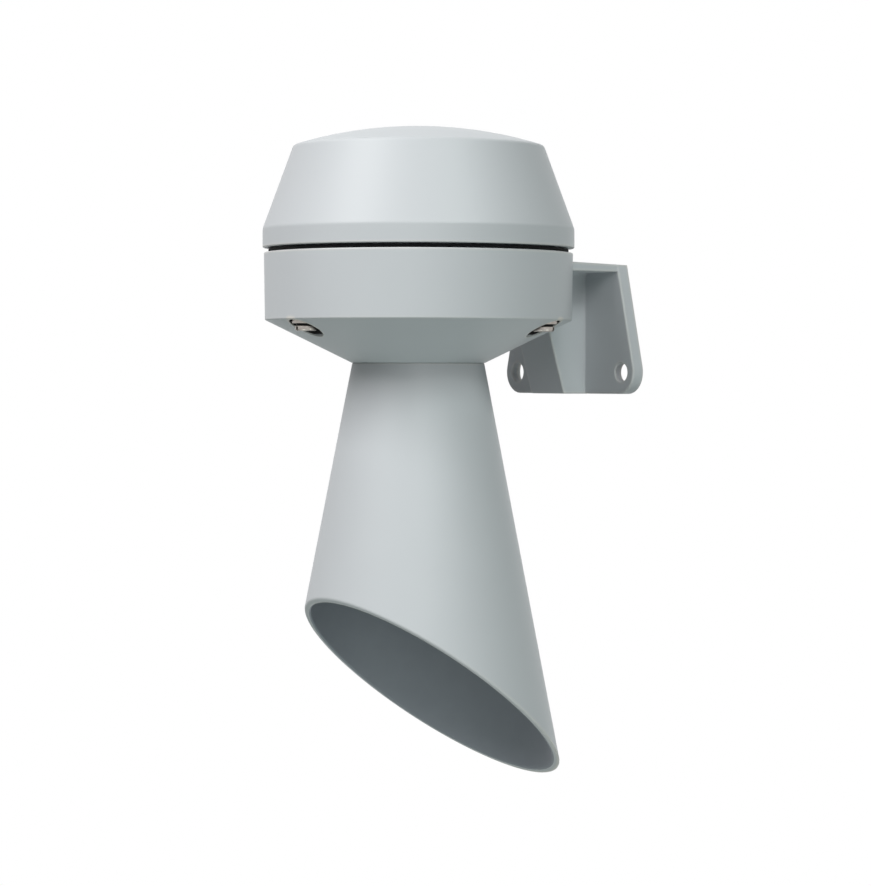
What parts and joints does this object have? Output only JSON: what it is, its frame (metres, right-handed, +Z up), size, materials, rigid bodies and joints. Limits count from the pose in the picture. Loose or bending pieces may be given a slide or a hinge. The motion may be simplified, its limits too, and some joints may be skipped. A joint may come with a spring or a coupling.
{
  "type": "electronic buzzer horn",
  "caption": "Wall-mounted electronic buzzer horn: round grey housing with screwed cap and moulded bracket, and a slant-cut conical sound horn pointing down.",
  "frame": {"origin": "middle of the bracket's top rim, in the plane of the wall", "axes": "+Y points out of the bracket's back into the wall, +Z is up along the axis of housing and horn, +X is to the right when the horn is seen from its mouth's side looking along +Y"},
  "size_m": [0.0908, 0.105, 0.1911],
  "materials": {
    "grey_plastic": "satin moulded, light grey",
    "black_rubber": "matt black",
    "dark_plastic": "satin black",
    "natural_nylon": "natural, slightly glossy",
    "plated_steel": "zinc plated",
    "spring_steel": "rolled bright",
    "soft_iron": "passivated",
    "cast_aluminium": "as cast",
    "brass": "turned",
    "copper_winding": "enamelled wire",
    "board_green": "solder resist",
    "terminal_green": "moulded",
    "sleeve_blue": "shrink sleeve"
  },
  "bodies": {
    "housing_body": {"lower_housing": "grey_plastic", "cap": "grey_plastic", "seal_ring": "black_rubber", "sound_horn": "grey_plastic", "horn_ring_nut": "dark_plastic", "cover_screw_1": "plated_steel", "cover_screw_2": "plated_steel", "cover_screw_3": "plated_steel", "cable_grommet": "black_rubber", "lower_gasket": "black_rubber", "upper_gasket": "black_rubber", "driver_frame": "cast_aluminium", "frame_screw_1": "plated_steel", "frame_screw_2": "plated_steel", "frame_screw_3": "plated_steel", "frame_screw_4": "plated_steel", "magnet_yoke": "soft_iron", "yoke_screw_1": "plated_steel", "yoke_screw_2": "plated_steel", "magnet_core": "soft_iron", "core_nut": "plated_steel", "coil_bobbin": "natural_nylon", "coil_winding": "copper_winding", "coil_pin_1": "brass", "coil_pin_2": "brass", "circuit_board": "board_green", "board_pillar_1": "brass", "board_pillar_2": "brass", "board_pillar_3": "brass", "board_screw_1": "plated_steel", "board_screw_2": "plated_steel", "board_screw_3": "plated_steel", "terminal_block": "terminal_green", "terminal_screw_1": "plated_steel", "terminal_screw_2": "plated_steel", "terminal_screw_3": "plated_steel", "filter_capacitor": "sleeve_blue", "switching_transistor": "dark_plastic", "bridge_rectifier": "dark_plastic"},
    "diaphragm_body": {"diaphragm": "spring_steel", "armature": "soft_iron", "armature_screw": "plated_steel"}
  },
  "joints": [
    {"name": "diaphragm_stroke", "type": "slide", "parent": "housing_body", "child": "diaphragm_body", "axis": [0, 0, 1], "range_m": [-0.0002, 0.0002], "stiffness_N_per_m": 2000}
  ]
}
